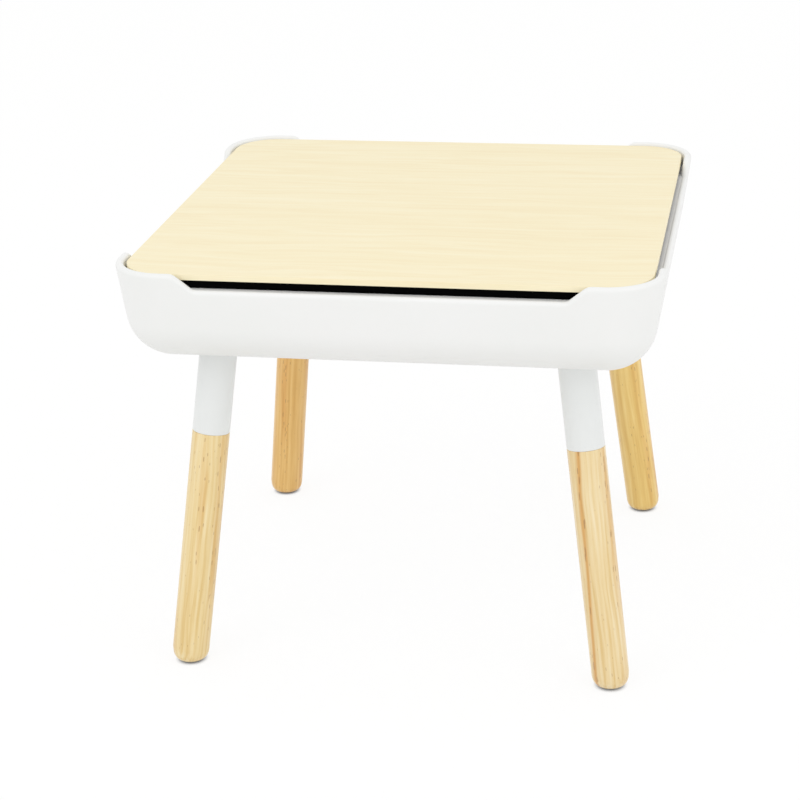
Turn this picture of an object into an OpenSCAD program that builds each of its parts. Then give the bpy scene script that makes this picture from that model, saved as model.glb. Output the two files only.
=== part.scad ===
// Children's table: a white moulded tub with four splayed legs and a lift-off lid.
// Millimetres. Origin on the floor under the middle of the table, +X right, +Y back, +Z up.

/* [Table] */
// Outer width of the square tub at its rim
table_w = 563; // [540:1:600]
// Height of the raised rim corners above the floor
table_h = 460; // [450:1:480]

/* [Tub] */
// Height of the tub's underside above the floor
underside_z = 358; // [350:1:362]
// Thickness of the rounded rim and of the raised wall around the lid
rim_t = 8.4; // [7:0.1:9]
// Thickness of the wall below the ledge
wall_t = 5; // [4.2:0.1:6]
// Thickness of the tub's floor
floor_t = 4.5; // [4:0.5:7]
// Lean of the walls out of the vertical, in degrees
draft = 8; // [6:0.5:8]
// Radius of the upright corners, at the rim
corner_r = 58; // [56:1:64]
// Radius from wall to underside, on the outside
bottom_r = 50; // [44:1:50]
// Radius from wall to floor, on the inside
inner_bottom_r = 45; // [38:1:45]
// Half the width between the noses of the ledges under the lid
ledge_half = 263; // [258:1:265]

/* [Finger notches] */
// Half the length of the low stretch of rim
notch_half = 190; // [160:1:192]
// Slope of the rim up to the corners, in degrees
notch_slope = 40; // [36:1:50]
// Radius at the foot of the slope, along the rim's middle
notch_foot_r = 10; // [6:1:14]
// Radius at the head of the slope, along the rim's middle
notch_head_r = 8; // [6:1:12]

/* [Lid] */
// Width of the square lid
lid_w = 540; // [530:1:542]
// Thickness of the lid's board with its top sheet
lid_t = 6; // [5:0.5:8]
// Depth of the lid's top below the raised rim corners
lid_drop = 2.5; // [1:0.5:4]
// Thickness of the wood-look sheet and of the edge band
sheet_t = 0.8; // [0.6:0.1:1.2]
// Thickness of the black chalkboard under the lid
chalk_t = 8.3; // [6:0.1:9]
// Step from the lid's edge in to the chalkboard's edge
chalk_inset = 2; // [1:0.5:3]

/* [Legs] */
// Radius of the leg and of its white socket
leg_r = 20; // [18:0.5:22]
// Half the distance between the leg axes, on the floor
foot_half = 232; // [225:1:236]
// Half the distance between the leg axes, at the tub's underside
top_half = 188.5; // [180:0.5:190]
// Length of bare wood, along the leg
wood_len = 264; // [250:1:275]
// Height of the widest point of the rounded foot
foot_dome_z = 14.5; // [13:0.5:17]
// Radius that turns the rounded foot into its flat end
foot_edge_r = 8; // [6:0.5:9]
// Radius of the tenon in the socket
tenon_r = 15; // [13:0.5:16]
// Length of the tenon
tenon_len = 72; // [60:1:74]

/* [Fittings] */
// Radius of the felt glide under each foot
glide_r = 10; // [8:0.5:10.5]
// Thickness of the felt glide
glide_t = 1.5; // [1:0.5:2.5]
// Radius of the leg bolt's shank
bolt_r = 3.9; // [3:0.1:4]
// Length of the leg bolt under its head
bolt_len = 62; // [50:1:65]
// Outer radius of the threaded insert in the tenon
insert_r = 5.5; // [5:0.1:6]
// Length of the threaded insert
insert_len = 25; // [15:1:25]

/* [Hidden] */
$fn = 96;

white = [0.94, 0.94, 0.93];
socket_white = [0.90, 0.91, 0.91];
beech = [0.89, 0.77, 0.53];
maple = [0.97, 0.92, 0.78];

// Slack between pieces of one body, and between the lid and what it rests on
slack = 0.1;
lid_slack = 0.3;

// The middle of each corner's radius, in from the table's centre lines
corner_at = table_w / 2 - corner_r;

// Lid levels. The lid hangs a hair above its ledges, which are as high as the rim in the notches
lid_top_z = table_h - lid_drop;
lid_under_z = lid_top_z - lid_t;
lid_corner_r = lid_w / 2 - corner_at;
ledge_z = lid_under_z - chalk_t - lid_slack;
notch_z = ledge_z + 0.4;

// The raised wall's middle line, out from the corner's axis and up from the underside: rim_at
// is at the centre of the rounded rim, and v counts along the wall from there
rim_at = [corner_r - rim_t / 2, table_h - underside_z - rim_t / 2];
lean_up = [sin(draft), cos(draft)];
lean_out = [cos(draft), -sin(draft)];
function mid_r(up) = rim_at[0] - (rim_at[1] - up) * tan(draft);

// Centres of the two arcs from wall to floor, both tangent to their wall
outer_arc = [mid_r(bottom_r) - (bottom_r - rim_t / 2) / cos(draft), bottom_r];
inner_arc_up = floor_t + inner_bottom_r;
inner_reach = inner_bottom_r + wall_t - rim_t / 2;
inner_arc = [mid_r(inner_arc_up) - inner_reach / cos(draft), inner_arc_up];

// Levels along the leaning wall, counted up from the rim's centre line
outer_end = (outer_arc - rim_at) * lean_up;
inner_end = (inner_arc - rim_at) * lean_up;
notch_v = (notch_z - table_h) / cos(draft);
rim_root = 4;
slab_v = notch_v - rim_root - 1;
step_v = slab_v - 0.6;

// The rim's path in the wall's middle plane, with its two rounded corners
slope_dir = [cos(notch_slope), sin(notch_slope)];
notch_foot = [notch_half, notch_v];
notch_head = [notch_half - notch_v / tan(notch_slope), 0];
foot_reach = notch_foot_r * tan(notch_slope / 2);
head_reach = notch_head_r * tan(notch_slope / 2);
foot_centre = [notch_foot[0] - foot_reach, notch_v + notch_foot_r];
head_centre = [notch_head[0] + head_reach, -notch_head_r];
foot_start = notch_foot - [foot_reach, 0];
foot_end = notch_foot + foot_reach * slope_dir;
head_start = notch_head - head_reach * slope_dir;
head_end = notch_head + [head_reach, 0];

// Leg lengths along its own axis, from the point on the floor
splay = atan(sqrt(2) * (foot_half - top_half) / underside_z);
leg_at_underside = underside_z / cos(splay);
tenon_top = wood_len + tenon_len;
boss_r = 14;
boss_top = leg_at_underside + floor_t + 4.2;
washer_r = 8.5;
washer_t = 1.6;
head_seat = boss_top + washer_t;
bolt_hole_r = 4.5;
cap_r = 11.5;
cap_h = 8;
far = 400;

// ---- Helpers ----

// A slice of a disc between two angles less than 90 degrees apart
module pie(centre, r, from, to) {
    mid = (from + to) / 2;
    intersection() {
        translate(centre) circle(r);
        polygon([for (p = [[0, 0], 2 * [cos(from), sin(from)],
            2 * [cos(mid), sin(mid)], 2 * [cos(to), sin(to)]]) centre + r * p]);
    }
}

// Section of the rounded rim: half a disc on a root that stands in the wall
module rim_section() {
    intersection() {
        circle(rim_t / 2);
        translate([-rim_t, 0]) square([2 * rim_t, rim_t]);
    }
    translate([-rim_t / 2, -rim_root]) square([rim_t, rim_root]);
}

// A square with round corners
module rounded_square(w, r) {
    inset = w - 2 * r;
    square([w, inset], center = true);
    square([inset, w], center = true);
    for (x = [-1, 1], y = [-1, 1])
        translate([x, y] * inset / 2) circle(r);
}

// Puts a child on the axis of leg k, with the axis along Z and the floor point at the origin
module on_leg(k) {
    rotate([0, 0, 90 * k])
        translate([-foot_half, -foot_half, 0])
            rotate([0, 0, 45])
                rotate([0, splay, 0])
                    children();
}

// Everything above height z
module above(z) {
    translate([-far, -far, z]) cube([2 * far, 2 * far, far]);
}

// ---- Tub ----

// Wall, curve and floor edge in section up to level v, from the corner's axis outwards. The
// straight wall is drawn along its lean, as thick as the rim down to step_v and thinner below
module wall_section(v) {
    inner = rim_t / 2 - wall_t;
    difference() {
        union() {
            polygon([[0, 0], [outer_arc[0], 0], outer_arc + bottom_r * lean_out,
                rim_at + (outer_end + 6) * lean_up, [0, rim_at[1] + outer_end]]);
            pie(outer_arc, bottom_r, -90, -draft);
        }
        union() {
            polygon([[-1, floor_t], [inner_arc[0], floor_t], inner_arc + inner_bottom_r * lean_out,
                rim_at + (inner_end + 9) * lean_up, [-1, rim_at[1] + inner_end + 12]]);
            pie(inner_arc, inner_bottom_r, -90, -draft);
        }
    }
    translate(rim_at) rotate([0, 0, -draft])
        polygon([[rim_t / 2, outer_end], [rim_t / 2, v], [-rim_t / 2, v], [-rim_t / 2, step_v],
            [inner, step_v], [inner, inner_end], [inner + 1.5, inner_end - 3],
            [rim_t / 2 - 1.5, outer_end - 3]]);
}

// Section of a ledge: a flat top, a short nose and a slope back down to the wall
module ledge_section() {
    top = ledge_z - underside_z;
    low = top - 13;
    nose = ledge_half - corner_at;
    polygon([[nose, top], [mid_r(top), top], [mid_r(low), low], [nose, top - 4]]);
}

// One corner, a quarter turn of the section with its rounded rim, and of the ledge for the lid
module tub_corner() {
    rotate([0, 0, 180]) rotate_extrude(angle = 90) {
        wall_section(0);
        translate(rim_at) rotate([0, 0, -draft]) rim_section();
    }
    rotate([0, 0, 180]) rotate_extrude(angle = 90) ledge_section();
}

// Right half of the wall above slab_v in its own plane, its edge half a root below the rim's path
module notch_outline() {
    below = rim_root / 2 * [tan(notch_slope / 2), -1];
    polygon([[0, slab_v], [0, notch_v + below[1]], notch_foot + below,
        notch_head + below, [corner_at, below[1]], [corner_at, slab_v]]);
}

// A straight stretch of rounded rim on the wall's plane, from one point of its path to another
module rim_straight(from, to) {
    step = to - from;
    translate([from[0], from[1], 0])
        rotate([0, 0, atan2(step[1], step[0])])
            rotate([0, 90, 0])
                linear_extrude(norm(step)) rim_section();
}

// The rounded rim round the foot and the head of one slope
module rim_bends() {
    translate([foot_centre[0], foot_centre[1], 0]) rotate([0, 0, -90])
        rotate_extrude(angle = notch_slope)
            translate([notch_foot_r, 0]) rotate([0, 0, 90]) rim_section();
    translate([head_centre[0], head_centre[1], 0]) rotate([0, 0, 90])
        rotate_extrude(angle = notch_slope)
            translate([notch_head_r, 0]) rotate([0, 0, -90]) rim_section();
}

// The front side from its middle to the right corner, with its notch and rounded rim
module tub_half_side() {
    translate([corner_at, -corner_at, 0]) rotate([0, 0, -90]) rotate([90, 0, 0])
        linear_extrude(corner_at) wall_section(slab_v);
    translate([0, -corner_at - rim_at[0], rim_at[1]]) rotate([90 + draft, 0, 0]) {
        linear_extrude(rim_t, center = true) notch_outline();
        rim_straight([0, notch_v], foot_start);
        rim_bends();
        rim_straight(foot_end, head_start);
        rim_straight(head_end, [corner_at, 0]);
    }
}

// The ledge along one notch, short of the bends at its ends
module notch_ledge() {
    run = floor(foot_start[0] - 2);
    translate([run, -corner_at, 0]) rotate([0, 0, -90]) rotate([90, 0, 0])
        linear_extrude(2 * run) ledge_section();
}

module tub() {
    color(white) difference() {
        union() {
            translate([0, 0, underside_z]) {
                translate([-corner_at, -corner_at, 0])
                    cube([2 * corner_at, 2 * corner_at, floor_t]);
                for (k = [0:3]) rotate([0, 0, 90 * k]) {
                    translate([-corner_at, -corner_at, 0]) tub_corner();
                    tub_half_side();
                    mirror([1, 0, 0]) tub_half_side();
                    notch_ledge();
                }
            }
            for (k = [0:3]) intersection() {
                on_leg(k) translate([0, 0, boss_top - 12]) cylinder(r = boss_r, h = 12);
                above(underside_z + floor_t / 2);
            }
        }
        for (k = [0:3]) on_leg(k)
            translate([0, 0, boss_top - 20]) cylinder(r = bolt_hole_r, h = 40);
    }
}

// ---- Legs ----

// White socket between tub and wood: bored for the tenon, and cut level under the tub
module leg_socket(k) {
    color(socket_white) difference() {
        on_leg(k) difference() {
            translate([0, 0, wood_len + slack]) cylinder(r = leg_r, h = leg_at_underside - wood_len + 10);
            translate([0, 0, wood_len - 1]) cylinder(r = tenon_r + slack, h = tenon_len + 2);
            translate([0, 0, wood_len]) cylinder(r = bolt_hole_r, h = far);
        }
        above(underside_z);
    }
}

// The rounded end of a foot about an upright axis: a flat, a small arc and the side of a dome
module foot_envelope() {
    rise = foot_dome_z - glide_t;
    // The small arc's centre, a hair farther out than where it would just touch the dome
    reach = leg_r - foot_edge_r + 0.05;
    flat_r = sqrt(reach * reach - pow(rise - foot_edge_r, 2));
    out = [flat_r, foot_edge_r - rise] / reach;
    leave = [flat_r, foot_edge_r] + foot_edge_r * out;
    side = [-out[1], out[0]];
    rotate_extrude() {
        polygon([[0, 0], [flat_r, 0], [flat_r, foot_edge_r], leave, leave + 60 * side,
            [0, leave[1] + 60 * side[1]]]);
        pie([flat_r, foot_edge_r], foot_edge_r, -90, atan2(out[1], out[0]));
    }
}

// Round wooden leg: a turned shaft with a domed foot, a flat under it and a tenon on top
module wooden_leg(k) {
    dome_at = foot_dome_z / cos(splay);
    dome_out = foot_dome_z * tan(splay) / sqrt(2);
    color(beech) difference() {
        union() {
            intersection() {
                on_leg(k) rotate_extrude() {
                    translate([0, dome_at]) square([leg_r, wood_len - dome_at]);
                    pie([0, dome_at], leg_r, -90, -45);
                    pie([0, dome_at], leg_r, -45, 0);
                }
                union() {
                    rotate([0, 0, 90 * k])
                        translate([dome_out - foot_half, dome_out - foot_half, glide_t])
                            foot_envelope();
                    above(30);
                }
            }
            on_leg(k) translate([0, 0, wood_len - 5]) cylinder(r = tenon_r, h = tenon_len + 5);
        }
        on_leg(k) {
            translate([0, 0, tenon_top - insert_len - slack]) cylinder(r = insert_r + slack, h = insert_len + 5);
            translate([0, 0, tenon_top - insert_len - 22]) cylinder(r = bolt_hole_r, h = 40);
        }
    }
}

module foot_glide(k) {
    dome_out = foot_dome_z * tan(splay) / sqrt(2);
    color([0.35, 0.25, 0.17]) rotate([0, 0, 90 * k])
        translate([dome_out - foot_half, dome_out - foot_half, 0])
            cylinder(r = glide_r, h = glide_t);
}

// ---- Fasteners on the leg axes ----

module leg_bolts() {
    color([0.62, 0.62, 0.64]) for (k = [0:3]) on_leg(k) translate([0, 0, head_seat]) {
        translate([0, 0, -bolt_len]) cylinder(r = bolt_r, h = bolt_len + 1);
        difference() {
            cylinder(r1 = 7, r2 = 5.5, h = 4.4);
            translate([0, 0, 1.8]) cylinder(r = 2.9, h = 4, $fn = 6);
        }
    }
}

module bolt_washers() {
    color([0.7, 0.7, 0.72]) for (k = [0:3]) on_leg(k) translate([0, 0, boss_top]) difference() {
        cylinder(r = washer_r, h = washer_t);
        translate([0, 0, -1]) cylinder(r = bolt_r + slack, h = washer_t + 2);
    }
}

module threaded_inserts() {
    color([0.75, 0.68, 0.42]) for (k = [0:3]) on_leg(k)
        translate([0, 0, tenon_top - insert_len]) difference() {
            cylinder(r = insert_r, h = insert_len);
            translate([0, 0, -1]) cylinder(r = bolt_r + slack, h = insert_len + 2);
        }
}

// White push-on cover over each bolt head, inside the tub
module bolt_caps() {
    color(white) for (k = [0:3]) on_leg(k) translate([0, 0, boss_top]) difference() {
        union() {
            cylinder(r = cap_r, h = cap_h - 1.5);
            translate([0, 0, cap_h - 1.5]) cylinder(r1 = cap_r, r2 = cap_r - 1.5, h = 1.5);
        }
        translate([0, 0, -1]) cylinder(r = cap_r - 1.6, h = cap_h - 0.8);
    }
}

// ---- Lid ----

module lid_board() {
    color([0.80, 0.68, 0.50]) translate([0, 0, lid_under_z])
        linear_extrude(lid_t - sheet_t)
            rounded_square(lid_w - 2 * sheet_t, lid_corner_r - sheet_t);
}

module lid_top_sheet() {
    color(maple) translate([0, 0, lid_top_z - sheet_t])
        linear_extrude(sheet_t)
            rounded_square(lid_w - 2 * sheet_t, lid_corner_r - sheet_t);
}

module lid_edge_band() {
    color(maple) translate([0, 0, lid_under_z]) linear_extrude(lid_t) difference() {
        rounded_square(lid_w, lid_corner_r);
        rounded_square(lid_w - 2 * sheet_t, lid_corner_r - sheet_t);
    }
}

module chalkboard() {
    color([0.08, 0.08, 0.08]) translate([0, 0, lid_under_z - chalk_t])
        linear_extrude(chalk_t)
            rounded_square(lid_w - 2 * chalk_inset, lid_corner_r - chalk_inset);
}

tub();
leg_socket(0);  // socket_front_left
leg_socket(1);  // socket_front_right
leg_socket(2);  // socket_back_right
leg_socket(3);  // socket_back_left
wooden_leg(0);  // leg_front_left
wooden_leg(1);  // leg_front_right
wooden_leg(2);  // leg_back_right
wooden_leg(3);  // leg_back_left
foot_glide(0);  // glide_front_left
foot_glide(1);  // glide_front_right
foot_glide(2);  // glide_back_right
foot_glide(3);  // glide_back_left
leg_bolts();
bolt_washers();
threaded_inserts();
bolt_caps();
lid_board();
lid_top_sheet();
lid_edge_band();
chalkboard();
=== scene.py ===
# %% [markdown]
# # A children's table with storage under its lid
#
# The real object is a square moulded tub on four splayed round legs. A thin board with a
# wood look lies in the tub as the table top. It lifts off, and the toys go underneath.
# The imported model gives every size and place. This lesson dresses it: it makes each visible
# piece as a finished mesh in the same frame, in metres, and gives each one a material.
# The steps go sizes, camera, light, materials, tub, legs, lid, and then the sizes of both boxes.

# %% Load the imported model
import math

import bmesh
import bpy
import numpy as np
from mathutils import Matrix, Vector


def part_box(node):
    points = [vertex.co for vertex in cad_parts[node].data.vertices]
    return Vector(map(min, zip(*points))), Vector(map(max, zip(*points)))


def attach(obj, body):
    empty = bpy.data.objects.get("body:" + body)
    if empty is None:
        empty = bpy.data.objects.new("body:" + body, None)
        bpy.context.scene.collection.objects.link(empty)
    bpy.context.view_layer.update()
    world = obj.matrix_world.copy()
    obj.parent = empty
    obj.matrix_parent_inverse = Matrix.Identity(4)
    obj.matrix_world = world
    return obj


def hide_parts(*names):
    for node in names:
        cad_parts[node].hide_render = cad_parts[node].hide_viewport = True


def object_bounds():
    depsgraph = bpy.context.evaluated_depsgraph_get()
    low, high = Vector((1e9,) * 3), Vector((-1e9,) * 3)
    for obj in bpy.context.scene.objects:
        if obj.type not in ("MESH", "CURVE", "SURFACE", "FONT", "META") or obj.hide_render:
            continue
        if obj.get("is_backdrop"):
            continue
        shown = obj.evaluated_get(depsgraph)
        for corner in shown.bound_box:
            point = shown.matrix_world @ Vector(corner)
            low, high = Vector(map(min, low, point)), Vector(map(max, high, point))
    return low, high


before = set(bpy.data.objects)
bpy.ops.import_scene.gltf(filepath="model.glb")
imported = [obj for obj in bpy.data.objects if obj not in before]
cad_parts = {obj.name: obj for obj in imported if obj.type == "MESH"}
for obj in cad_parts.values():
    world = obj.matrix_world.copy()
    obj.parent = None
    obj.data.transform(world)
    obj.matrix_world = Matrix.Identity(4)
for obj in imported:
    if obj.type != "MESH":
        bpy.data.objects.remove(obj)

cad_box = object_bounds()

# %% [markdown]
# ## Sizes
#
# A mesh that stands for a CAD node has to be where that node is. Its outer sizes are read
# from the node's box, so they can't drift apart. What a box doesn't tell, such as a wall's
# thickness or a corner's radius, is named here once, in millimetres times MM.

# %% Sizes taken from the model, and the few that its boxes don't tell
MM = 0.001
tub_low, tub_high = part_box("tub")
lid_low, lid_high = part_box("lid_edge_band")
sheet_low, sheet_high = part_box("lid_top_sheet")
chalk_low, chalk_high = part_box("chalkboard")

RIM_OUT, RIM_TOP, UNDERSIDE = tub_high.x, tub_high.z, tub_low.z
RIM_T, WALL, FLOOR, DRAFT = 8.4 * MM, 5 * MM, 4.5 * MM, math.radians(8)
CORNER_R, BOTTOM_R, INNER_R = 58 * MM, 50 * MM, 45 * MM
CORNER_AT = RIM_OUT - CORNER_R
RIM = Vector((CORNER_R - RIM_T / 2, RIM_TOP - RIM_T / 2))
LID_PLAY, NOTCH_OVER_LEDGE = 0.3 * MM, 0.4 * MM
LEDGE_Z, LEDGE_NOSE = chalk_low.z - LID_PLAY, 263 * MM - CORNER_AT
NOTCH_DEPTH = RIM_TOP - LEDGE_Z - NOTCH_OVER_LEDGE

LEG_R, TENON_R, INSERT_R, BOLT_HOLE_R = 20 * MM, 15 * MM, 5.6 * MM, 4.5 * MM
WOOD_LEN, TENON_LEN, INSERT_LEN = 264 * MM, 72 * MM, 25.1 * MM
FOOT_HALF, TOP_HALF = 232 * MM, 188.5 * MM
SPLAY = math.atan(math.sqrt(2) * (FOOT_HALF - TOP_HALF) / UNDERSIDE)
print(f"tub {2000 * RIM_OUT:.0f} mm wide, rim at {1000 * RIM_TOP:.0f} mm high,",
      f"legs lean {math.degrees(SPLAY):.2f} degrees")

# %% [markdown]
# ## Camera
#
# The photograph looks down on the table from the front, a little from the right. A long
# lens, 96 mm on a 36 mm sensor, keeps the far edge nearly as wide as the near one. The
# camera is turned by three plain angles: around, down, and a slight roll.

# %% Camera at the photograph's angle
def aimed(around, down, roll):
    """The turn of a camera that looks along +Y, swung around Z, tipped down and rolled."""
    return (Matrix.Rotation(math.radians(around), 4, "Z")
            @ Matrix.Rotation(math.radians(90 - down), 4, "X")
            @ Matrix.Rotation(math.radians(roll), 4, "Z"))


camera = bpy.data.objects.new("camera", bpy.data.cameras.new("camera"))
bpy.context.scene.collection.objects.link(camera)
camera.data.lens, camera.data.sensor_width = 95.62, 36
EYE = (0.39835, -2.22784, 1.11287)
camera.matrix_world = Matrix.Translation(EYE) @ aimed(around=10.9552, down=21.3951, roll=-1.7067)
bpy.context.scene.camera = camera
print("camera", [round(x, 2) for x in camera.location], "lens", camera.data.lens)

# %% [markdown]
# ## Helpers for nodes and colours
#
# Materials, the world and Geometry Nodes are all node trees. One function adds a node, sets
# its properties and fills its inputs, with plain values or with another node's output.
# Three short ones call it for the nodes that come up most: a Math node, a Vector Math node
# and a Map Range node. Colours are written as the sRGB hex codes that a paint chart gives.
# A shader works in linear light, so one function turns the code into linear numbers.

# %% add(), calc(), vcalc(), mapped() and hex_linear()
def add(tree, kind, inputs=None, **settings):
    """Adds a node. Inputs are keyed by name or number and take values, nodes or sockets."""
    node = tree.nodes.new(kind)
    for name, value in settings.items():
        setattr(node, name, value)
    for key, value in (inputs or {}).items():
        if isinstance(value, bpy.types.Node):
            value = value.outputs[0]
        if isinstance(value, bpy.types.NodeSocket):
            tree.links.new(value, node.inputs[key])
        else:
            node.inputs[key].default_value = value
    return node


def calc(tree, operation, *values):
    """A Math node with up to three values."""
    return add(tree, "ShaderNodeMath", dict(enumerate(values)), operation=operation)


def vcalc(tree, operation, first, second=None):
    """A Vector Math node. The second value of a SCALE is its factor."""
    inputs = {0: first}
    if second is not None:
        inputs["Scale" if operation == "SCALE" else 1] = second
    return add(tree, "ShaderNodeVectorMath", inputs, operation=operation)


def mapped(tree, value, source, target, smooth=False):
    """A Map Range node from one (start, end) pair to another, held at its ends."""
    return add(tree, "ShaderNodeMapRange", {
        "Value": value, "From Min": source[0], "From Max": source[1],
        "To Min": target[0], "To Max": target[1]},
        interpolation_type="SMOOTHSTEP" if smooth else "LINEAR")


def hex_linear(code):
    """The linear RGBA of an sRGB colour such as "F1F1EF"."""
    parts = [int(code[i:i + 2], 16) / 255 for i in (0, 2, 4)]
    return [p / 12.92 if p <= 0.04045 else ((p + 0.055) / 1.055) ** 2.4 for p in parts] + [1]


print("mid grey", [round(x, 3) for x in hex_linear("808080")])

# %% [markdown]
# ## Light and floor
#
# The object was photographed in a white sweep: light comes from everywhere, and shadows all
# but vanish. Here the world gives that even light and two large soft lamps shape it.
# The white page behind the object isn't made by more light, which would wash out the
# object. The world and the floor ask Light Path which kind of ray looks at them: camera,
# glossy and transmission rays see white, and the rest see a plain pale studio.

# %% Seen by the eye: one number that is 1 for camera, glossy and transmission rays
def seen(tree):
    """An output that is 1 for the rays that show a background, straight or in a reflection."""
    path = add(tree, "ShaderNodeLightPath").outputs
    first = calc(tree, "MAXIMUM", path["Is Camera Ray"], path["Is Glossy Ray"])
    return calc(tree, "MAXIMUM", first, path["Is Transmission Ray"])


# %% World
WORLD_LIGHT, WHITE = 0.91, hex_linear("FFFFFF")
world = bpy.data.worlds.new("white studio")
bpy.context.scene.world = world
world.use_nodes = True
tree = world.node_tree
tree.nodes.clear()
studio = add(tree, "ShaderNodeBackground", {"Color": WHITE, "Strength": WORLD_LIGHT})
page = add(tree, "ShaderNodeBackground", {"Color": WHITE, "Strength": 1.0})
add(tree, "ShaderNodeOutputWorld", {
    "Surface": add(tree, "ShaderNodeMixShader", {0: seen(tree), 1: studio, 2: page})})
bpy.context.scene.view_settings.view_transform = "Standard"

# %% Lamps: name, place, size and power of each, all aimed at the table
LAMPS = {
    "key": ((-1.6, -2.2, 2.6), 2.2, 12.6),
    "fill": ((2.4, -1.6, 1.6), 2.4, 8.7),
}
AIM = Vector((0, 0, 0.35))
for name, (place, size, power) in LAMPS.items():
    lamp = bpy.data.lights.new(name, "AREA")
    lamp.shape, lamp.size, lamp.energy = "DISK", size, power
    holder = bpy.data.objects.new(name, lamp)
    holder.location = place
    holder.rotation_euler = (Vector(place) - AIM).to_track_quat("Z", "Y").to_euler()
    bpy.context.scene.collection.objects.link(holder)
print("lamps:", ", ".join(LAMPS))

# %% Floor: white to the eye, with a soft share of real shading that holds the shadow, and a painted contact shadow under the feet
SHADOW_SHARE, CONTACT, FLOOR_HALF = 0.16, 9 * MM, 8.0
floor_material = bpy.data.materials.new("white paper sweep")
floor_material.use_nodes = True
tree = floor_material.node_tree
tree.nodes.clear()
paper = add(tree, "ShaderNodeBsdfDiffuse", {"Color": hex_linear("F2F2F1")})
# The bright page would wash out the thin dark line where a foot meets the paper, so the glow
# dims wherever something hangs closely over it: a contact shadow painted into the glow
cover = add(tree, "ShaderNodeAmbientOcclusion", {"Distance": CONTACT}, samples=16)
glow_with_painted_contact_shadow = mapped(tree, cover.outputs["AO"], (0.0, 0.6), (0.05, 1.03), smooth=True)
glow = add(tree, "ShaderNodeEmission", {"Color": WHITE, "Strength": glow_with_painted_contact_shadow})
eye = add(tree, "ShaderNodeMixShader", {0: SHADOW_SHARE, 1: glow, 2: paper})
add(tree, "ShaderNodeOutputMaterial", {
    "Surface": add(tree, "ShaderNodeMixShader", {0: seen(tree), 1: paper, 2: eye})})

floor_mesh = bpy.data.meshes.new("floor")
floor_corners = ((-1, -1), (1, -1), (1, 1), (-1, 1))
floor_mesh.from_pydata([(x * FLOOR_HALF, y * FLOOR_HALF, 0) for x, y in floor_corners],
                       [], [(0, 1, 2, 3)])
floor_mesh.materials.append(floor_material)
floor = bpy.data.objects.new("floor", floor_mesh)
bpy.context.scene.collection.objects.link(floor)
floor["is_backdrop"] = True

# %% [markdown]
# ## Materials
#
# Each material is a small tree that starts from what the real surface is and how it was
# made. Patterns read Object coordinates, so they stay put on the piece from any side, and
# their scales are worked out from millimetres: a Noise texture with scale 1 / size has
# features of about that size. Metals keep the default index of refraction. The steps that
# several materials share each have a short function.

# %% Where each material starts
def new_material(name, base, roughness, ior=1.5, metallic=0.0, coat=0.0, coat_roughness=0.1):
    """A cleared Principled material: the material, its tree and its shader node."""
    material = bpy.data.materials.new(name)
    material.use_nodes = True
    tree = material.node_tree
    tree.nodes.clear()
    shader = add(tree, "ShaderNodeBsdfPrincipled", {
        "Base Color": hex_linear(base), "Roughness": roughness, "IOR": ior, "Metallic": metallic,
        "Coat Weight": coat, "Coat Roughness": coat_roughness})
    add(tree, "ShaderNodeOutputMaterial", {"Surface": shader})
    return material, tree, shader


# %% The steps that materials share
def stretched(tree, place, scale):
    """Coordinates times one factor per axis. A factor below 1 draws a pattern out along it."""
    return vcalc(tree, "MULTIPLY", place, scale)


def noise(tree, place, size, detail, roughness=0.5):
    """A Noise texture with features of about the given size."""
    return add(tree, "ShaderNodeTexNoise", {
        "Vector": place, "Scale": 1 / size, "Detail": detail, "Roughness": roughness})


def wander(tree, place, size, detail, reach):
    """An offset that changes slowly from place to place, by up to half the reach each way."""
    slow = noise(tree, place, size, detail).outputs["Color"]
    return vcalc(tree, "SCALE", vcalc(tree, "SUBTRACT", slow, (0.5, 0.5, 0.5)), reach)


def ramp(tree, fac, stops, blend="LINEAR"):
    """A colour ramp through (place, hex colour) stops."""
    node = add(tree, "ShaderNodeValToRGB", {"Fac": fac})
    node.color_ramp.interpolation = blend
    while len(node.color_ramp.elements) < len(stops):
        node.color_ramp.elements.new(0.5)
    for element, (place, code) in zip(node.color_ramp.elements, stops):
        element.position, element.color = place, hex_linear(code)
    return node.outputs["Color"]


def mixed(tree, share, first, second, blend="MIX"):
    """A share of the second colour laid over the first, or multiplied into it."""
    return add(tree, "ShaderNodeMix", {0: share, 6: first, 7: second},
               data_type="RGBA", blend_type=blend).outputs[2]


def surface(tree, shader, colour, height, strength, depth, **under):
    """Gives the shader its colour and a bump, which may lie over another bump's Normal."""
    bump = add(tree, "ShaderNodeBump", {
        "Height": height, "Strength": strength, "Distance": depth, **under})
    tree.links.new(colour, shader.inputs["Base Color"])
    tree.links.new(bump.outputs["Normal"], shader.inputs["Normal"])


# %% [markdown]
# ### Moulded white plastic
#
# The tub is injection-moulded polypropylene. Its steel mould was spark-eroded to a fine
# grain, which gives the eye a soft satin sheen and no mirror image. Two noises do it: one of
# half a millimetre for the grain, one of several centimetres for the faint waves that a
# large wall takes as it cools. The sockets are the same white in a smoother, slightly
# cooler ABS. A grain of 0.05 mm would vanish in the render, so it is drawn coarser.

# %% Tub and socket plastics
def moulded_plastic(name, base, worn, roughness, grain_mm, wave_mm, grain_height):
    material, tree, shader = new_material(name, base, roughness, ior=1.49)
    place = add(tree, "ShaderNodeTexCoord").outputs["Object"]
    grain = noise(tree, place, grain_mm * MM, 3)
    wave = noise(tree, place, wave_mm * MM, 1)
    waves = add(tree, "ShaderNodeBump", {"Height": wave, "Strength": 0.25, "Distance": 0.6 * MM})
    # Pigment and handling leave the white a shade uneven, in patches as wide as a hand
    patch = noise(tree, place, 2.5 * wave_mm * MM, 4)
    colour = ramp(tree, patch, [(0.35, base), (0.75, worn)])
    sheen = mapped(tree, patch, (0.3, 0.7), (roughness - 0.04, roughness + 0.05))
    tree.links.new(sheen.outputs["Result"], shader.inputs["Roughness"])
    surface(tree, shader, colour, grain, 0.4, grain_height * MM, Normal=waves)
    return material


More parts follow.
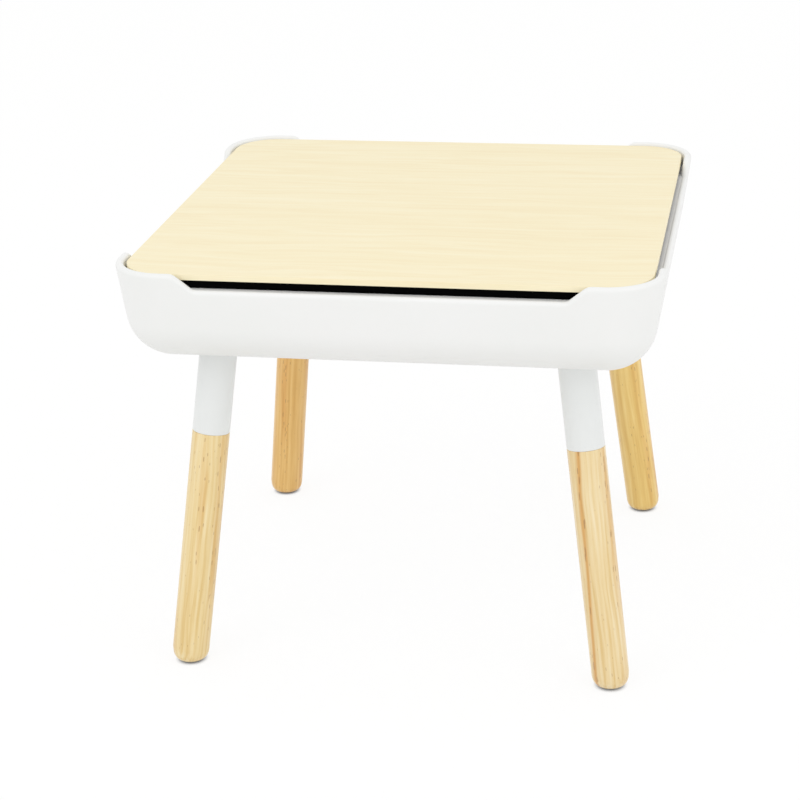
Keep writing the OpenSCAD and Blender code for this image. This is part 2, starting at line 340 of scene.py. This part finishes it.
tub_plastic = moulded_plastic("satin moulded polypropylene, white", "F3F3F2", "F0F1EF",
                              0.42, 0.5, 60, 0.02)
socket_plastic = moulded_plastic("smooth moulded ABS, cool white", "EBEDEC", "E7E9E8",
                                 0.34, 0.4, 40, 0.01)
print("plastics:", tub_plastic.name, "and", socket_plastic.name)

# %% [markdown]
# ### Lacquered rubberwood
#
# The legs are turned from rubberwood, a pale straight-grained wood, under a clear satin
# lacquer that goes white at a glancing angle. To the eye it is straw-yellow with long soft
# streaks, faint rings, browner bands, and short dark pore lines along the leg. A pattern on
# plain Object coordinates would run straight down and ignore the lean of the legs. So each
# leg carries an attribute named grain: its own coordinates, with Z along its axis. A second
# attribute, number, moves every leg to another part of the same endless log and gives it
# its own tone: no two staves match. The back pair's tone is darker and browner, partly the
# wood's own and partly painted shade, as those two legs stand further under the tub.
# The front right leg holds a dark heart streak, a thin flat sheet that runs the length of
# the wood.

# %% Rubberwood
# One tone for each leg, with painted shade darkening and browning the back pair: a quarter
# of its number falls between two stops
LEG_TONES_AND_PAINTED_SHADE = [(0, "FFFEF5"), (0.2, "FFFFFF"), (0.45, "FFF1BE"), (0.7, "F9E0AE")]
HEART_LEG, HEART_NORMAL = 1, (0.98, 0.2, 0.033)
HEART_AT, HEART_HALF = 4.5 * MM, 4 * MM
# The Wave texture's own ring is this many units wide at scale 1
WAVE_RING = 2 * math.pi / 20


def rubberwood():
    material, tree, shader = new_material("rubberwood, turned and clear-lacquered", "E7CB93",
                                          0.46, coat=0.6, coat_roughness=0.3)
    grain = add(tree, "ShaderNodeAttribute", attribute_name="grain").outputs["Vector"]
    number = add(tree, "ShaderNodeAttribute", attribute_name="number").outputs["Fac"]
    own = vcalc(tree, "ADD", grain, vcalc(tree, "SCALE", (0.043, 0.061, 0.37), number))
    # The tree didn't grow straight: a slow wander of a few millimetres along the leg
    sway = wander(tree, stretched(tree, own, (1, 1, 0.2)), 30 * MM, 2, 9 * MM)
    bent = vcalc(tree, "ADD", own, sway)
    # Growth rings 5 mm apart around a pith well outside the leg
    pith = vcalc(tree, "ADD", stretched(tree, bent, (1, 1, 0.04)), (0.055, 0.03, 0))
    rings = add(tree, "ShaderNodeTexWave", {
        "Vector": pith, "Scale": WAVE_RING / (5 * MM), "Distortion": 5, "Detail": 2,
        "Detail Scale": 1.2}, wave_type="RINGS", rings_direction="Z")
    # Fibre streaks 4 mm wide and 130 mm long, and broad browner bands
    streaks = noise(tree, stretched(tree, bent, (1, 1, 0.03)), 4 * MM, 4, 0.6)
    bands = noise(tree, stretched(tree, bent, (1, 1, 0.06)), 17 * MM, 2)
    fibres = calc(tree, "MULTIPLY_ADD", rings.outputs["Fac"], 0.14, streaks)
    wood = ramp(tree, fibres, [(0.36, "E3C384"), (0.58, "EED5A0"), (0.82, "F6E4BC")])
    brown = ramp(tree, bands, [(0.52, "FFFFFF"), (0.72, "F0D9B4")])
    toned = mixed(tree, 1.0, wood, brown, "MULTIPLY")
    # Each leg's tone, which on the back pair is partly painted shade
    leg_tone_and_painted_shade = ramp(tree, calc(tree, "MULTIPLY", number, 0.25), LEG_TONES_AND_PAINTED_SHADE, "CONSTANT")
    staved_and_shaded = mixed(tree, 1.0, toned, leg_tone_and_painted_shade, "MULTIPLY")
    # The heart streak: how near a point is to a plane, wandering with the grain
    swaying = vcalc(tree, "ADD", grain, sway)
    across = vcalc(tree, "DOT_PRODUCT", swaying, HEART_NORMAL).outputs["Value"]
    apart = calc(tree, "ABSOLUTE", calc(tree, "SUBTRACT", across, HEART_AT))
    near = mapped(tree, apart, (HEART_HALF, 0.0), (0.0, 1.0), smooth=True)
    heart = calc(tree, "MULTIPLY", near, calc(tree, "COMPARE", number, HEART_LEG, 0.1))
    streaked = mixed(tree, heart, staved_and_shaded, hex_linear("EBC893"), "MULTIPLY")
    # Open pores: dark dashes up to 1.8 mm wide and six times as long, larger and more of
    # them where the wood is browner
    cells = add(tree, "ShaderNodeTexVoronoi", {
        "Vector": stretched(tree, bent, (1, 1, 0.16)), "Scale": 1 / (2.6 * MM),
        "Randomness": 1.0})
    darker = calc(tree, "MULTIPLY_ADD", heart, 0.4, bands)
    pore_size = mapped(tree, darker, (0.46, 0.74), (0.08, 0.34))
    pore = calc(tree, "LESS_THAN", cells.outputs["Distance"], pore_size)
    faint = calc(tree, "MULTIPLY", pore, 0.55)
    dark = mixed(tree, faint, streaked, hex_linear("9A6B3A"))
    height = calc(tree, "MULTIPLY_ADD", pore, -0.8, streaks)
    surface(tree, shader, dark, height, 0.35, 0.12 * MM)
    return material


wood_material = rubberwood()
print("wood nodes:", len(wood_material.node_tree.nodes))

# %% [markdown]
# ### Maple-look sheet
#
# The table top is a board faced with a printed and embossed melamine sheet, and a strip of
# the same is ironed round its edge. The print is pale maple: cream with long, quiet
# streaks from left to right. Melamine is matt and even, so the streaks live in the colour
# and only a trace of them in the bump.

# %% Maple-look melamine, flat and as an edge strip
def maple_sheet(name, draw_out):
    """Maple print whose streaks are drawn out by one factor per axis."""
    material, tree, shader = new_material(name, "F8EDCB", 0.55)
    place = add(tree, "ShaderNodeTexCoord").outputs["Object"]
    sway = wander(tree, stretched(tree, place, (1, 3, 3)), 160 * MM, 1, 30 * MM)
    drawn = stretched(tree, vcalc(tree, "ADD", place, sway), draw_out)
    streaks = noise(tree, drawn, 9 * MM, 4, 0.55)
    fine = noise(tree, drawn, 1.6 * MM, 3)
    both = calc(tree, "MULTIPLY_ADD", fine, 0.3, streaks)
    colour = ramp(tree, both, [(0.45, "F6E8C1"), (0.62, "F8ECC7"), (0.85, "FAF0CF")])
    surface(tree, shader, colour, fine, 0.15, 0.05 * MM)
    return material


maple_flat = maple_sheet("maple-print melamine sheet", (0.035, 1, 1))
maple_strip = maple_sheet("maple-print edge strip", (0.05, 0.05, 1))
print("maple:", maple_flat.name, "and", maple_strip.name)

# %% [markdown]
# ### The plain small materials
#
# Five more finishes need only two or three nodes each: raw fibreboard inside the lid, matt
# chalkboard paint, brown wool felt, and two kinds of zinc plating on the screws. One
# function makes them all: a base colour broken up by a noise of the right grain size, and
# the same noise as a bump.

# %% Grained materials
def grained(name, colours, roughness, grain_mm, height_mm, strength=0.5, **shader_values):
    """A surface whose colour and height both follow one noise of the given grain size."""
    material, tree, shader = new_material(name, colours[0], roughness, **shader_values)
    place = add(tree, "ShaderNodeTexCoord").outputs["Object"]
    grains = noise(tree, place, grain_mm * MM, 5, 0.6)
    tint = ramp(tree, grains, [(0.3, colours[0]), (0.7, colours[1])])
    surface(tree, shader, tint, grains, strength, height_mm * MM)
    return material


fibreboard = grained("raw fibreboard", ("B08F66", "C9AB80"), 0.85, 1.2, 0.15)
# The paint is so full of matting grains that it has next to no surface shine: an index near 1
chalk_paint = grained("chalkboard paint on fibreboard", ("040404", "090909"), 0.9, 0.8, 0.03,
                      ior=1.06)
felt = grained("pressed wool felt, brown", ("4A3322", "6B4C33"), 0.95, 0.5, 0.3, strength=1.0)
steel = grained("steel, blue zinc-plated", ("B4B7BC", "C6C8CC"), 0.34, 3.0, 0.02, metallic=1.0)
zinc = grained("zinc alloy, yellow passivated", ("B9A05A", "CDB570"), 0.4, 2.0, 0.02, metallic=1.0)
print("small materials:", ", ".join(m.name for m in (fibreboard, chalk_paint, felt, steel, zinc)))

# %% [markdown]
# ## Shapes: a section and a path
#
# Nearly every piece here is a section moved along a path. The tub, the lid and its edge
# strip follow a rounded square, and the legs and fasteners turn round an axis. So there
# are two ways to draw: Geometry Nodes sweep a section round a rounded square, and a short
# function skins rings of points round an axis. Both start from lists of points, and every
# curve in them comes from one arc function.

# %% Points along arcs, and new pieces
def arc(centre, radius, start, end, steps):
    """Points on an arc, from one angle to another in degrees, both ends included."""
    angles = np.radians(np.linspace(start, end, steps + 1))
    return [(centre[0] + radius * math.cos(a), centre[1] + radius * math.sin(a)) for a in angles]


def link(name, mesh):
    piece = bpy.data.objects.new(name, mesh)
    bpy.context.scene.collection.objects.link(piece)
    return piece


def mesh_from(name, points, faces):
    mesh = bpy.data.meshes.new(name)
    mesh.from_pydata([tuple(p) for p in points], [], faces)
    return mesh


# %% The tub's section, from the underside round the rim to the floor
# The wall keeps the rim's thickness down to this far below a notch
THICK_BELOW = 5.6 * MM


def wall_middle(height):
    """The place of the raised wall's middle at a height, out from the corner's axis."""
    return RIM.x - (RIM.y - height) * math.tan(DRAFT)


def on_wall(across, along):
    """A point across the wall from its middle, and along it from the rim's centre."""
    cos, sin = math.cos(DRAFT), math.sin(DRAFT)
    return (RIM.x + across * cos + along * sin, RIM.y - across * sin + along * cos)


def tub_section():
    """Points (out from the corner's axis, up from the ground), with curves tangent to the wall."""
    lean, half = math.degrees(DRAFT), RIM_T / 2

    def arc_centre(height, reach):
        return wall_middle(height) - reach / math.cos(DRAFT), height

    bottom = arc_centre(UNDERSIDE + BOTTOM_R, BOTTOM_R - half)
    inner = arc_centre(UNDERSIDE + FLOOR + INNER_R, INNER_R + WALL - half)
    step = -NOTCH_DEPTH / math.cos(DRAFT) - THICK_BELOW
    return (arc(bottom, BOTTOM_R, -90, -lean, 18) + arc(RIM, half, -lean, 180 - lean, 14)
            + [on_wall(-half, step), on_wall(half - WALL, step)]
            + arc(inner, INNER_R, -lean, -90, 16))


section = tub_section()
print(f"tub section: {len(section)} points, up to {1000 * max(p[1] for p in section):.1f} mm")

# %% [markdown]
# ## Geometry Nodes: sweeping round a square
#
# A tub, a board and an edge strip are one rule with different sizes, so one node tree makes
# them all. It draws a square, rounds its corners, spaces points evenly along it and sweeps
# a section round. The sizes are named inputs on the modifier. An input is set by its
# socket's identifier, because two inputs may share a name. Afterwards the result is read
# out as a plain mesh and the modifier goes, so nothing depends on it any more.

# %% Running a tree and keeping its mesh
def new_tree(name, inputs):
    """A Geometry Nodes group with (name, socket type) inputs: the tree and its input sockets."""
    tree = bpy.data.node_groups.new(name, "GeometryNodeTree")
    tree.interface.new_socket("Geometry", in_out="OUTPUT", socket_type="NodeSocketGeometry")
    tree.interface.new_socket("Geometry", in_out="INPUT", socket_type="NodeSocketGeometry")
    for socket, kind in inputs:
        tree.interface.new_socket(socket, in_out="INPUT", socket_type="NodeSocket" + kind)
    return tree, tree.nodes.new("NodeGroupInput").outputs


def end_tree(tree, geometry, material):
    """The last steps of every tree: real geometry, one material, and out."""
    real = add(tree, "GeometryNodeRealizeInstances", {"Geometry": geometry})
    painted = add(tree, "GeometryNodeSetMaterial", {"Geometry": real, "Material": material})
    add(tree, "NodeGroupOutput", {0: painted})


def grown(name, tree, source=None, **sizes):
    """Runs a tree with its inputs set, on a source mesh if it has one, and keeps the result."""
    piece = source or link(name, bpy.data.meshes.new(name))
    modifier = piece.modifiers.new(tree.name, "NODES")
    modifier.node_group = tree
    for item in tree.interface.items_tree:
        key = item.name.lower().replace(" ", "_")
        if item.in_out == "INPUT" and key in sizes:
            modifier[item.identifier] = sizes[key]
    evaluated = piece.evaluated_get(bpy.context.evaluated_depsgraph_get())
    mesh = bpy.data.meshes.new_from_object(evaluated)
    piece.modifiers.remove(modifier)
    piece.data, piece.name, mesh.name = mesh, name, name
    return piece


# %% The sweep tree
def sweep_tree():
    tree, given = new_tree("section swept round a square", [
        ("Half width", "Float"), ("Corner radius", "Float"), ("Step", "Float"),
        ("Section", "Object"), ("Material", "Material")])
    width = calc(tree, "MULTIPLY", given["Half width"], 2.0)
    square = add(tree, "GeometryNodeCurvePrimitiveQuadrilateral", {"Width": width, "Height": width})
    rounded = add(tree, "GeometryNodeFilletCurve", {
        "Curve": square, "Count": 48, "Radius": given["Corner radius"], "Limit Radius": True},
        mode="POLY")
    even = add(tree, "GeometryNodeResampleCurve", {"Curve": rounded, "Length": given["Step"]},
               mode="LENGTH")
    level = add(tree, "GeometryNodeSetCurveNormal", {"Curve": even}, mode="Z_UP")
    profile = add(tree, "GeometryNodeObjectInfo", {"Object": given["Section"]})
    swept = add(tree, "GeometryNodeCurveToMesh", {
        "Curve": level, "Profile Curve": profile.outputs["Geometry"]})
    end_tree(tree, swept, given["Material"])
    return tree


SWEEP = sweep_tree()
# An edge is sharp above this angle, and points nearer than this are one
SHARP, SAME = math.radians(40), 0.001 * MM


def swept(name, points, path_half, path_r, material, step=3 * MM, closed=False):
    """A section of points (out from the path, up from the ground), swept round a rounded square."""
    curve = bpy.data.curves.new("section", "CURVE")
    curve.dimensions = "3D"
    line = curve.splines.new("POLY")
    line.points.add(len(points) - 1)
    for point, (out, up) in zip(line.points, points):
        point.co = (out, -up, 0, 1)
    line.use_cyclic_u = closed
    profile = link("section", curve)
    piece = grown(name, SWEEP, half_width=path_half, corner_radius=path_r, step=step,
                  section=profile, material=material)
    bpy.data.objects.remove(profile)
    bpy.data.curves.remove(curve)
    return finished(piece)


def finished(piece):
    """Closes flat holes, turns faces outwards, and smooths all edges but the sharp ones."""
    body = bmesh.new()
    body.from_mesh(piece.data)
    bmesh.ops.remove_doubles(body, verts=body.verts, dist=SAME)
    bmesh.ops.holes_fill(body, edges=[e for e in body.edges if e.is_boundary], sides=0)
    bmesh.ops.recalc_face_normals(body, faces=body.faces)
    if body.calc_volume(signed=True) < 0:
        bmesh.ops.reverse_faces(body, faces=body.faces)
    for face in body.faces:
        face.smooth = True
    for edge in body.edges:
        edge.smooth = edge.is_manifold and edge.calc_face_angle() < SHARP
    open_edges = sum(not e.is_manifold for e in body.edges)
    body.to_mesh(piece.data)
    body.free()
    print(f"{piece.name}: {len(piece.data.polygons)} faces, {open_edges} open edges")
    return piece


# %% [markdown]
# ### Finger notches
#
# In the middle of each side the tub's rim dips by 17 mm, so that fingers reach the lid's
# edge. The dip follows a rule too, so a second tree makes it. Each point of the rim slides
# down along the leaning wall. How far depends on its place along the side: a straight ramp,
# held between nothing and the full depth by a smooth maximum and a smooth minimum, which
# round its foot and its head. Points lower in the wall stay where they are.

# %% The notch tree
# How far in height the rounding of each bend reaches. At the bend itself it is a sixth of that
FOOT_REACH, HEAD_REACH = 3 * MM, 5 * MM


def notch_tree():
    tree, given = new_tree("finger notches", [
        ("Depth", "Float"), ("Foot", "Float"), ("Climb", "Float"), ("Moves above", "Float"),
        ("Corner at", "Float"), ("Lean", "Float"), ("Material", "Material")])
    place = add(tree, "GeometryNodeInputPosition")
    size = add(tree, "ShaderNodeSeparateXYZ", {0: vcalc(tree, "ABSOLUTE", place)}).outputs
    along = calc(tree, "MINIMUM", size["X"], size["Y"])
    past = calc(tree, "SUBTRACT", along, given["Foot"])
    line = calc(tree, "MULTIPLY", past, given["Climb"])
    risen = calc(tree, "SMOOTH_MAX", line, 0.0, FOOT_REACH)
    height = calc(tree, "SMOOTH_MIN", risen, given["Depth"], HEAD_REACH)
    low = calc(tree, "SUBTRACT", given["Depth"], height)
    up = add(tree, "ShaderNodeSeparateXYZ", {0: place}).outputs["Z"]
    slide = calc(tree, "MULTIPLY", low, calc(tree, "GREATER_THAN", up, given["Moves above"]))
    # Outwards is away from the square through the four corner axes
    reach = add(tree, "ShaderNodeCombineXYZ", {"X": given["Corner at"], "Y": given["Corner at"]})
    capped = vcalc(tree, "MINIMUM", place, reach)
    nearest = vcalc(tree, "MAXIMUM", capped, vcalc(tree, "SCALE", reach, -1.0))
    away = vcalc(tree, "SUBTRACT", place, nearest)
    out = vcalc(tree, "NORMALIZE", vcalc(tree, "MULTIPLY", away, (1, 1, 0)))
    leaning = vcalc(tree, "SCALE", out, calc(tree, "TANGENT", given["Lean"]))
    wall = vcalc(tree, "ADD", leaning, (0, 0, 1))
    offset = vcalc(tree, "SCALE", wall, calc(tree, "MULTIPLY", slide, -1.0))
    moved = add(tree, "GeometryNodeSetPosition", {"Geometry": given["Geometry"], "Offset": offset})
    end_tree(tree, moved, given["Material"])
    return tree


# %% The tub's shell
# The foot of the ramp is where the top line of the rim bends, 1.5 mm nearer the middle than
# the line through the rim's centre. The slope is measured in the wall's own plane
RAMP_FOOT, RAMP_SLOPE = 188.5 * MM, math.radians(40)
# Only the rim moves with the ramp, not the wall below it
RIM_MOVES = 10 * MM
shell = swept("shell", [(out - RIM.x, up) for out, up in section], CORNER_AT + RIM.x, RIM.x,
              tub_plastic, step=2 * MM)
tub = grown("moulded_tub", notch_tree(), source=shell, depth=NOTCH_DEPTH, foot=RAMP_FOOT,
            climb=math.tan(RAMP_SLOPE) * math.cos(DRAFT), moves_above=RIM.y - RIM_MOVES,
            corner_at=CORNER_AT, lean=DRAFT, material=tub_plastic)
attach(tub, "table")
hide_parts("tub")

# %% [markdown]
# ## Geometry Nodes: one at each corner
#
# The table has four of nearly everything. A third tree copies one piece to its four
# corners by quarter turns. On the way it numbers the copies and stores the number as an
# attribute, so that a material can give each copy its own look.

# %% The corner tree
def corner_tree():
    tree, given = new_tree("one at each corner", [("Material", "Material")])
    points = add(tree, "GeometryNodePoints", {"Count": 4})
    number = add(tree, "GeometryNodeInputIndex")
    quarter = calc(tree, "MULTIPLY", number, math.pi / 2)
    turn = add(tree, "ShaderNodeCombineXYZ", {"Z": quarter})
    copies = add(tree, "GeometryNodeInstanceOnPoints", {
        "Points": points, "Instance": given["Geometry"], "Rotation": turn})
    numbered = add(tree, "GeometryNodeStoreNamedAttribute", {
        "Geometry": copies, "Name": "number", "Value": number},
        data_type="FLOAT", domain="INSTANCE")
    end_tree(tree, numbered, given["Material"])
    return tree


CORNERS = corner_tree()


def at_corners(name, rings, place, material, closed_loop=False, whole=True):
    """Skins rings of points and sets four of them round. Attribute grain is a point's own place."""
    count = len(rings[0])
    points = [p for r in rings for p in r]
    around = range(count if whole else count - 1)
    rows = range(len(rings) if closed_loop else len(rings) - 1)
    square = ((0, 0), (0, 1), (1, 1), (1, 0))
    faces = [[(row + a) % len(rings) * count + (k + b) % count for a, b in square]
             for row in rows for k in around]
    mesh = mesh_from(name, points, faces)
    own = mesh.attributes.new("grain", "FLOAT_VECTOR", "POINT")
    own.data.foreach_set("vector", [c for p in points for c in p])
    piece = finished(link(name, mesh))
    piece.data.transform(place)
    return grown(name, CORNERS, source=piece, material=material)


# %% [markdown]
# ### Rings of points
#
# A leg's parts are stacks of rings round its axis. Most rings stand square to the axis.
# The socket's top is level under the tub, though, and so is a boss's foot on the tub's
# floor, so a ring can also be cut at a level above the ground.

# %% Rings
AROUND = 64
LEG_TURN = Matrix.Rotation(math.radians(45), 4, "Z") @ Matrix.Rotation(SPLAY, 4, "Y")
ON_LEG = Matrix.Translation((-FOOT_HALF, -FOOT_HALF, 0)) @ LEG_TURN


def ring(radius, height, level=False, start=0, sweep=360):
    """Points round Z at a height, or on a leg at a level above the ground."""
    points = []
    for k in range(AROUND):
        angle = math.radians(start + sweep * k / (AROUND if sweep == 360 else AROUND - 1))
        x, y = radius * math.cos(angle), radius * math.sin(angle)
        points.append((x, y, (height + x * math.sin(SPLAY)) / math.cos(SPLAY) if level else height))
    return points


def rings_of(profile):
    return [ring(max(radius, 0), height) for radius, height in profile]


# %% [markdown]
# ### Ledges and bosses inside the tub
#
# Ledges carry the lid, round each corner and along each side, and a boss on the floor takes
# each leg's bolt. All are moulded in one with the tub, so they join its mesh.

# %% Ledges and bosses, joined to the tub
LEDGE_TALL, LEDGE_FACE, EASE = 13 * MM, 4 * MM, 1 * MM
BOSS_R, BOSS_RISE = 14 * MM, 4.2 * MM
BOSS_TOP = UNDERSIDE / math.cos(SPLAY) + FLOOR + BOSS_RISE
ledge_foot = LEDGE_Z - LEDGE_TALL
ledge_line = (arc((LEDGE_NOSE + EASE, LEDGE_Z - EASE), EASE, 180, 90, 4)
              + [(wall_middle(LEDGE_Z), LEDGE_Z), (wall_middle(ledge_foot), ledge_foot),
                 (LEDGE_NOSE, LEDGE_Z - LEDGE_FACE)])
ledge_rings = [ring(r, z, start=180, sweep=90) for r, z in ledge_line]
corner = Matrix.Translation((-CORNER_AT, -CORNER_AT, 0))
ledges = at_corners("ledges", ledge_rings, corner, tub_plastic, closed_loop=True, whole=False)
side_rings = [[(x, -CORNER_AT - r, z) for x in (-CORNER_AT, CORNER_AT)] for r, z in ledge_line]
side_ledges = at_corners("side_ledges", side_rings, Matrix.Identity(4), tub_plastic,
                         closed_loop=True, whole=False)

boss_foot = UNDERSIDE + FLOOR / 2
boss_rings = ([ring(BOSS_R, boss_foot, level=True)]
              + rings_of(arc((BOSS_R - EASE, BOSS_TOP - EASE), EASE, 0, 90, 4))
              + [ring(BOLT_HOLE_R, BOSS_TOP), ring(BOLT_HOLE_R, boss_foot, level=True)])
bosses = at_corners("bosses", boss_rings, ON_LEG, tub_plastic, closed_loop=True)

body = bmesh.new()
for part in (tub, ledges, side_ledges, bosses):
    body.from_mesh(part.data)
body.to_mesh(tub.data)
body.free()
for part in (ledges, side_ledges, bosses):
    bpy.data.objects.remove(part)
print("tub with its fittings:", len(tub.data.polygons), "faces")

# %% [markdown]
# ### Legs
#
# The foot is a dome cut by a small flat. The flat lies level on the ground while the leg
# leans, so the foot's rings turn about an upright axis through the dome's centre. Its
# distance from that centre is worked out for each angle from straight down: the flat, then
# a small arc, then the dome itself. From the dome's widest ring up, rings are square to
# the leg. A groove under 1 mm wide shows where wood meets socket.

# %% Wooden legs
FOOT_Z, GLIDE_T, EDGE_R = 14.5 * MM, 1.5 * MM, 8 * MM
JOINT_EDGE, HOLE_BELOW_INSERT = 0.7 * MM, 22 * MM
RISE, REACH = FOOT_Z - GLIDE_T, LEG_R - EDGE_R
FLAT_R = math.sqrt(REACH ** 2 - (RISE - EDGE_R) ** 2)
DOME_AT, DOME_LAST = FOOT_Z / math.cos(SPLAY), math.radians(78)


def foot_distance(angle):
    """From the dome's centre to the foot's surface, at an angle from straight down."""
    if angle <= math.atan2(FLAT_R, RISE):
        return RISE / math.cos(angle)
    if angle < math.atan2(FLAT_R, RISE - EDGE_R):
        along = FLAT_R * math.sin(angle) + (RISE - EDGE_R) * math.cos(angle)
        return along + math.sqrt(along ** 2 - REACH ** 2 + EDGE_R ** 2)
    return LEG_R


def foot_ring(angle):
    """A level ring of the foot, in the leg's own coordinates."""
    far = foot_distance(angle)
    centre = Vector((0, 0, DOME_AT))
    upright = Matrix.Rotation(-SPLAY, 3, "Y")
    level_ring = ring(far * math.sin(angle), -far * math.cos(angle))
    return [centre + upright @ Vector(p) for p in level_ring]


edge_from, edge_to = math.atan2(FLAT_R, RISE), math.atan2(FLAT_R, RISE - EDGE_R)
foot_angles = ([0, edge_from] + list(np.linspace(edge_from, edge_to, 7)[1:])
               + list(np.linspace(edge_to, DOME_LAST, 4)[1:]))
# The shaft is straight from the dome's widest ring to just under its rounded upper edge
straight = WOOD_LEN - 16 * MM
tenon_top = WOOD_LEN + TENON_LEN
insert_foot = tenon_top - INSERT_LEN
hole_foot = insert_foot - HOLE_BELOW_INSERT
shaft = ([(LEG_R, DOME_AT + share * straight) for share in np.linspace(0, 1, 13)]
         + arc((LEG_R - JOINT_EDGE, WOOD_LEN - JOINT_EDGE), JOINT_EDGE, 0, 90, 4)
         + [(TENON_R, WOOD_LEN), (TENON_R, tenon_top), (INSERT_R, tenon_top),
            (INSERT_R, insert_foot), (BOLT_HOLE_R, insert_foot), (BOLT_HOLE_R, hole_foot),
            (0, hole_foot)])
leg_rings = [foot_ring(angle) for angle in foot_angles] + rings_of(shaft)
legs = at_corners("wooden_legs", leg_rings, ON_LEG, wood_material)
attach(legs, "table")
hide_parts("leg_front_left", "leg_front_right", "leg_back_right", "leg_back_left")

# %% Sockets
SLACK, BORE_ROOM = 0.1 * MM, 1 * MM
socket_foot, bore_top = WOOD_LEN + SLACK, tenon_top + BORE_ROOM
socket_edge = arc((LEG_R - JOINT_EDGE, socket_foot + JOINT_EDGE), JOINT_EDGE, -90, 0, 4)
socket_rings = (rings_of(socket_edge)
                + [ring(LEG_R, UNDERSIDE, level=True), ring(BOLT_HOLE_R, UNDERSIDE, level=True),
                   ring(BOLT_HOLE_R, bore_top), ring(TENON_R + SLACK, bore_top),
                   ring(TENON_R + SLACK, socket_foot)])
sockets = at_corners("leg_sockets", socket_rings, ON_LEG, socket_plastic, closed_loop=True)
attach(sockets, "table")
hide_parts("socket_front_left", "socket_front_right", "socket_back_right", "socket_back_left")

# %% Felt glides and bolt caps
GLIDE_R, GLIDE_EDGE = 10 * MM, 0.4 * MM
glide_at = -FOOT_HALF + FOOT_Z * math.tan(SPLAY) / math.sqrt(2)
glide_line = ([(0, 0)] + arc((GLIDE_R - GLIDE_EDGE, GLIDE_EDGE), GLIDE_EDGE, -90, 0, 3)
              + [(GLIDE_R, GLIDE_T), (0, GLIDE_T)])
under_foot = Matrix.Translation((glide_at, glide_at, 0))
glides = at_corners("felt_glides", rings_of(glide_line), under_foot, felt)
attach(glides, "table")
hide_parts("glide_front_left", "glide_front_right", "glide_back_right", "glide_back_left")

CAP_R, CAP_H, CAP_EDGE = 11.5 * MM, 8 * MM, 1.5 * MM
CAP_BORE_R, CAP_ROOM = 9.9 * MM, 6.2 * MM
cap_line = ([(0, CAP_ROOM), (CAP_BORE_R, CAP_ROOM), (CAP_BORE_R, 0), (CAP_R, 0)]
            + arc((CAP_R - CAP_EDGE, CAP_H - CAP_EDGE), CAP_EDGE, 0, 90, 5) + [(0, CAP_H)])
on_boss = ON_LEG @ Matrix.Translation((0, 0, BOSS_TOP))
caps = at_corners("bolt_caps_white", rings_of(cap_line), on_boss, socket_plastic)
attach(caps, "table")
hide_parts("bolt_caps")

# %% [markdown]
# ## Lid
#
# The lid is four pieces: a fibreboard core, the printed sheet on top, an ironed strip round
# the edge, and a black chalkboard below, so the lid can be turned over to draw on. All four
# are sections swept round a square. The strip's top arris is filed to a small radius.

# %% Lid pieces
LID_HALF, LID_R = lid_high.x, lid_high.x - CORNER_AT
SHEET = lid_high.x - sheet_high.x
# The strip's top arris, its lower edge and the chalkboard's lower edge
ARRIS, STRIP_EDGE, CHALK_EDGE = 0.6 * MM, 0.2 * MM, 0.3 * MM


def lid_piece(name, line, half, radius, material, slot_name, **options):
    piece = swept(name, line, half, radius, material, **options)
    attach(piece, "lid")
    return piece


board = lid_piece("fibreboard_core", [(-SHEET, lid_low.z), (-SHEET, sheet_low.z)], LID_HALF, LID_R,
                  fibreboard, "lid_fibreboard")
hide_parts("lid_board")

top_sheet = lid_piece("maple_top", [(-SHEET, sheet_low.z), (-SHEET, sheet_high.z)], LID_HALF, LID_R,
                      maple_flat, "lid_maple")
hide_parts("lid_top_sheet")

band_line = ([(-SHEET, lid_low.z), (-STRIP_EDGE, lid_low.z), (0, lid_low.z + STRIP_EDGE)]
             + arc((-ARRIS, lid_high.z - ARRIS), ARRIS, 0, 90, 5) + [(-SHEET, lid_high.z)])
band = lid_piece("maple_edge_strip", band_line, LID_HALF, LID_R, maple_strip, "lid_maple",
                 closed=True)
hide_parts("lid_edge_band")

chalk_line = [(-CHALK_EDGE, chalk_low.z), (0, chalk_low.z + CHALK_EDGE), (0, chalk_high.z)]
chalk = lid_piece("chalkboard_panel", chalk_line, chalk_high.x, chalk_high.x - CORNER_AT,
                  chalk_paint, "chalkboard_black")
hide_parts("chalkboard")

# %% [markdown]
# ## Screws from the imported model
#
# The bolts, washers and inserts sit out of sight in the legs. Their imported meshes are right
# as they are, so they stay and only get the metal of the real thing.

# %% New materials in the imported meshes' slots
for node, metal, slot_name in (("leg_bolts", steel, "bolt_steel"),
                               ("bolt_washers", steel, "bolt_steel"),
                               ("threaded_inserts", zinc, "insert_zinc")):
    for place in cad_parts[node].material_slots:
        place.material = metal

# %% [markdown]
# ## Sizes at the end
#
# The dressed model has to keep the imported model's outer sizes. Both boxes are kept in
# metres, and their sizes are printed in millimetres.

# %% Sizes before and after
seen_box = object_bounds()
sizes = {"cad": [list(corner) for corner in cad_box], "visual": [list(corner) for corner in seen_box]}
for name, (low, high) in sizes.items():
    print(name, [round(1000 * (b - a), 2) for a, b in zip(low, high)], "mm")
